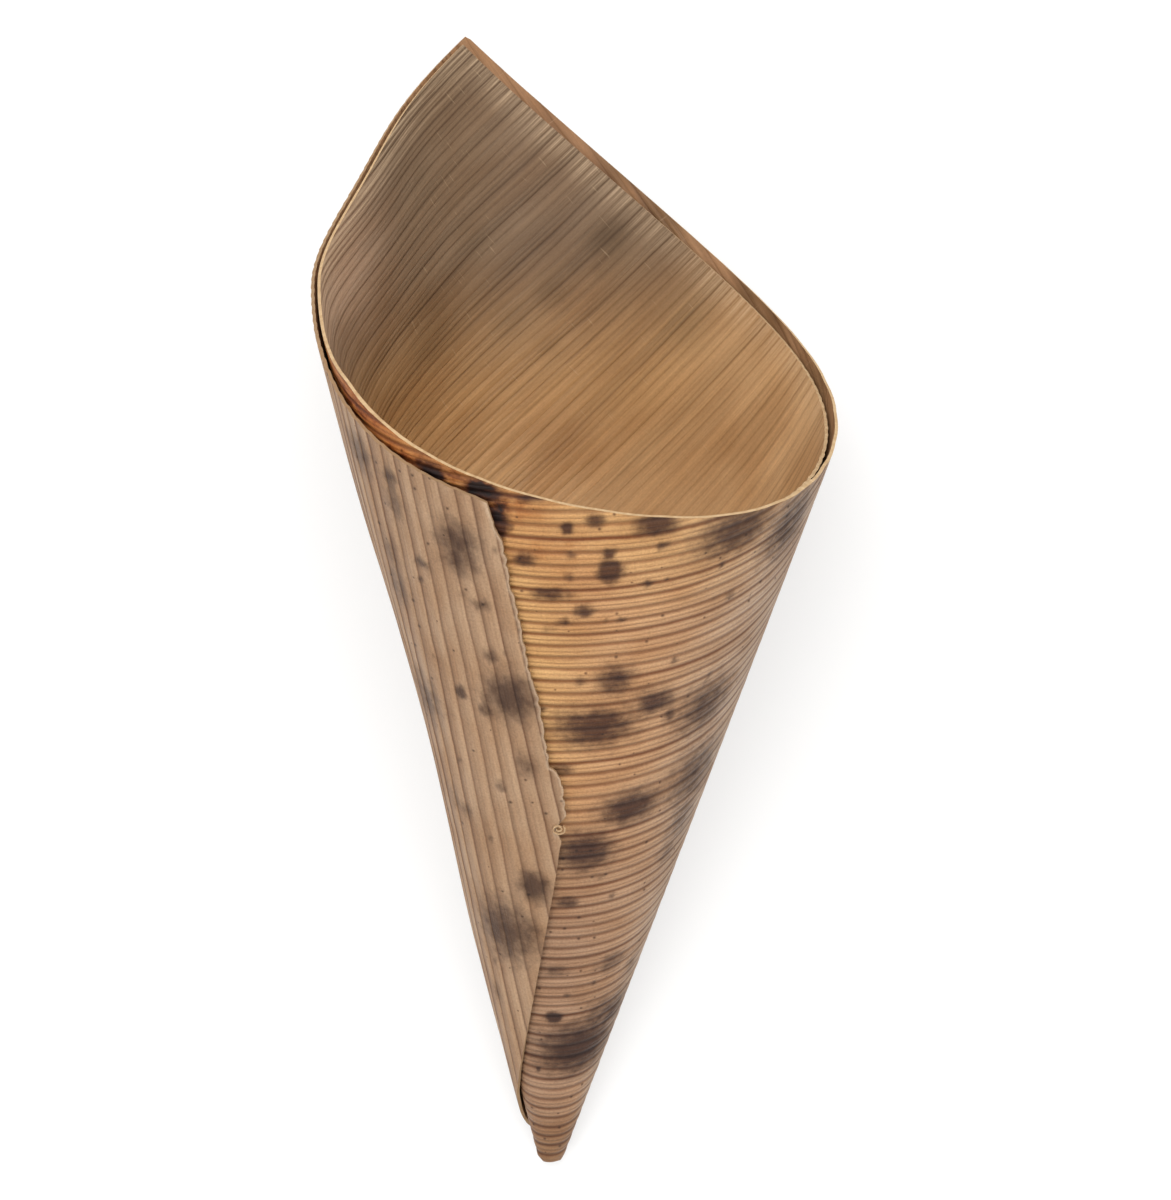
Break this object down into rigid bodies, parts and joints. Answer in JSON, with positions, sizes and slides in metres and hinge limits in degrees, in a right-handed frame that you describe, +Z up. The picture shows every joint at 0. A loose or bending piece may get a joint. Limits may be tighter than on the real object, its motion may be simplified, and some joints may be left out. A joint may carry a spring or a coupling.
{
  "type": "finger food cone",
  "caption": "Open serving cone for finger food, rolled from one sheet of dried ribbed leaf, with a slanted pointed mouth, an overlapping flap and a blunt tip.",
  "frame": {"origin": "middle of the bounding box in plan, on the ground the cone lies on", "axes": "+Y runs from the tip to the mouth along the line of the cone that lies on the ground, +X is the cone's right seen from the flap side, +Z is up"},
  "size_m": [0.064, 0.1498, 0.0592],
  "materials": {
    "dried_leaf": "matte"
  },
  "bodies": {
    "root": {"rolled_leaf": "dried_leaf"}
  },
  "joints": []
}
